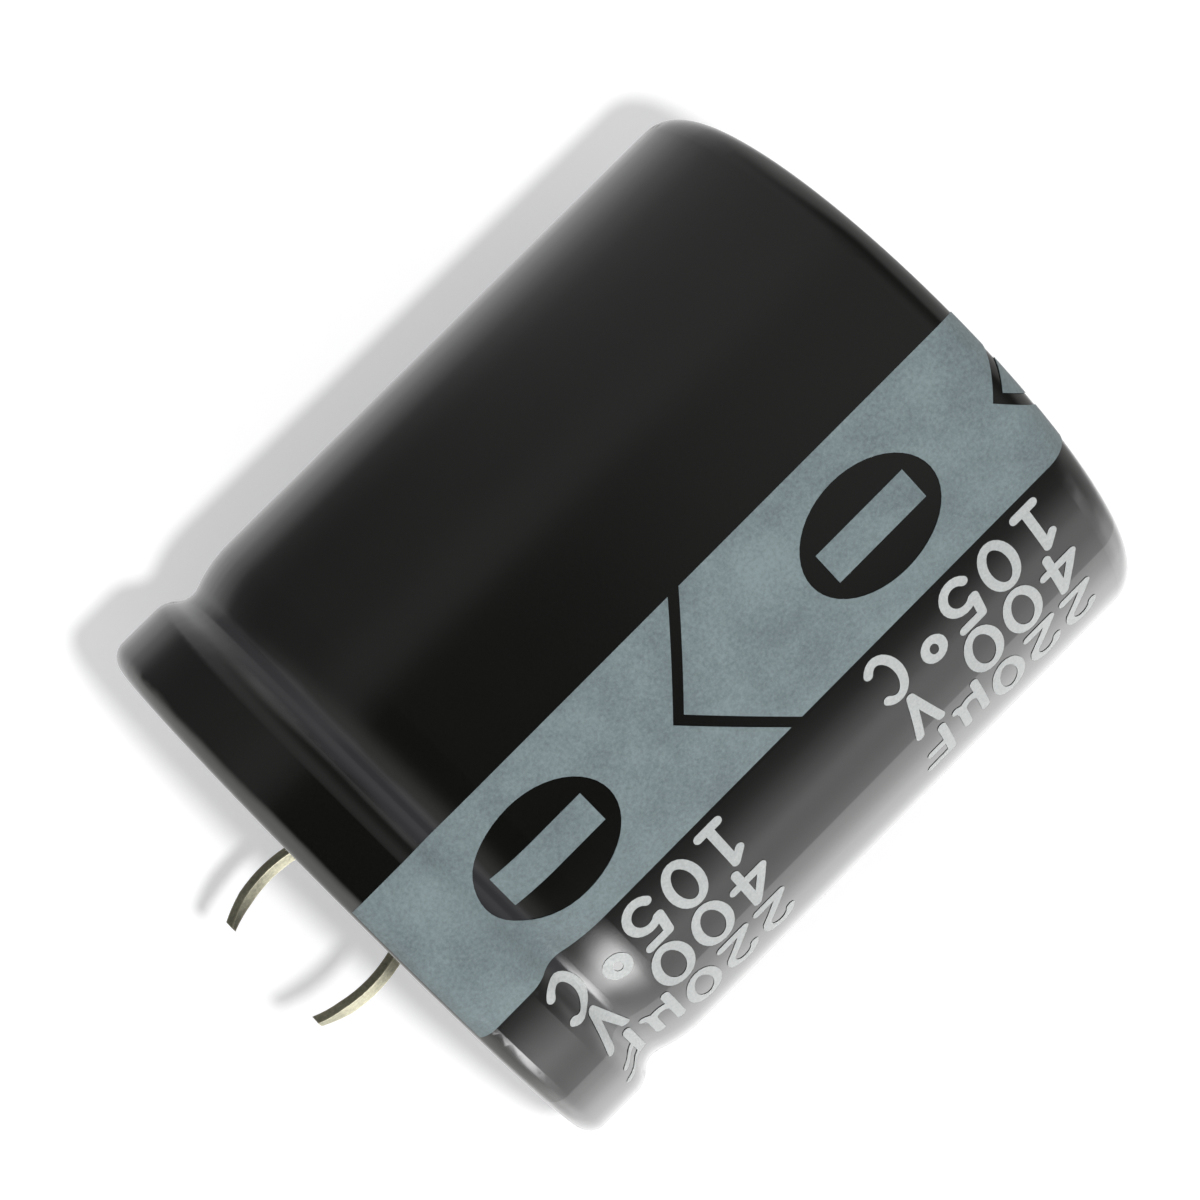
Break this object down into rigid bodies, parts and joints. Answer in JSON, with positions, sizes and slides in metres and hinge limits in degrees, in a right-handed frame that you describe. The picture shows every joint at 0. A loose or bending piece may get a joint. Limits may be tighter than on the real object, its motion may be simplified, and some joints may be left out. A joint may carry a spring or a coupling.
{
  "type": "electrolytic capacitor",
  "caption": "Snap-in aluminium electrolytic capacitor: sleeved round can with a rolled bead, a pale polarity band and two bowed board terminals, with its winding and tabs inside",
  "frame": {"origin": "centre of the can, on the plane of the board that it seats on", "axes": "+Z along the can towards its closed end; the two terminals point down -Z and lie on the X axis, the negative one at +X; +Y completes the set. The polarity band faces +X and -Y, 38 degrees round from the negative terminal."},
  "size_m": [0.0359, 0.0358, 0.0472],
  "materials": {
    "sleeve_film": "black heat-shrunk PVC film, softly glossy, with faint lengthwise creases",
    "band_ink": "blue-grey printed ink with a fine grain",
    "drawn_aluminium": "bare drawn aluminium, satin",
    "seal_rubber": "matt black rubber",
    "phenolic": "brown phenolic laminate",
    "tinned_metal": "tin-plated steel with a slight yellow cast",
    "rivet_aluminium": "soft aluminium, pressed",
    "tab_foil": "plain aluminium strip",
    "foil_and_paper": "edges of grey foil and electrolyte-soaked paper",
    "tape_film": "yellow plastic tape"
  },
  "bodies": {
    "root": {"sleeve": "sleeve_film", "polarity_band": "band_ink", "can": "drawn_aluminium", "rubber_seal": "seal_rubber", "phenolic_plate": "phenolic", "terminal_negative": "tinned_metal", "terminal_positive": "tinned_metal", "rivet_negative": "rivet_aluminium", "rivet_positive": "rivet_aluminium", "washer_negative": "rivet_aluminium", "washer_positive": "rivet_aluminium", "lead_tab_negative_outer": "tab_foil", "lead_tab_negative_inner": "tab_foil", "lead_tab_positive_outer": "tab_foil", "lead_tab_positive_inner": "tab_foil", "winding": "foil_and_paper", "winding_tape": "tape_film"}
  },
  "joints": []
}
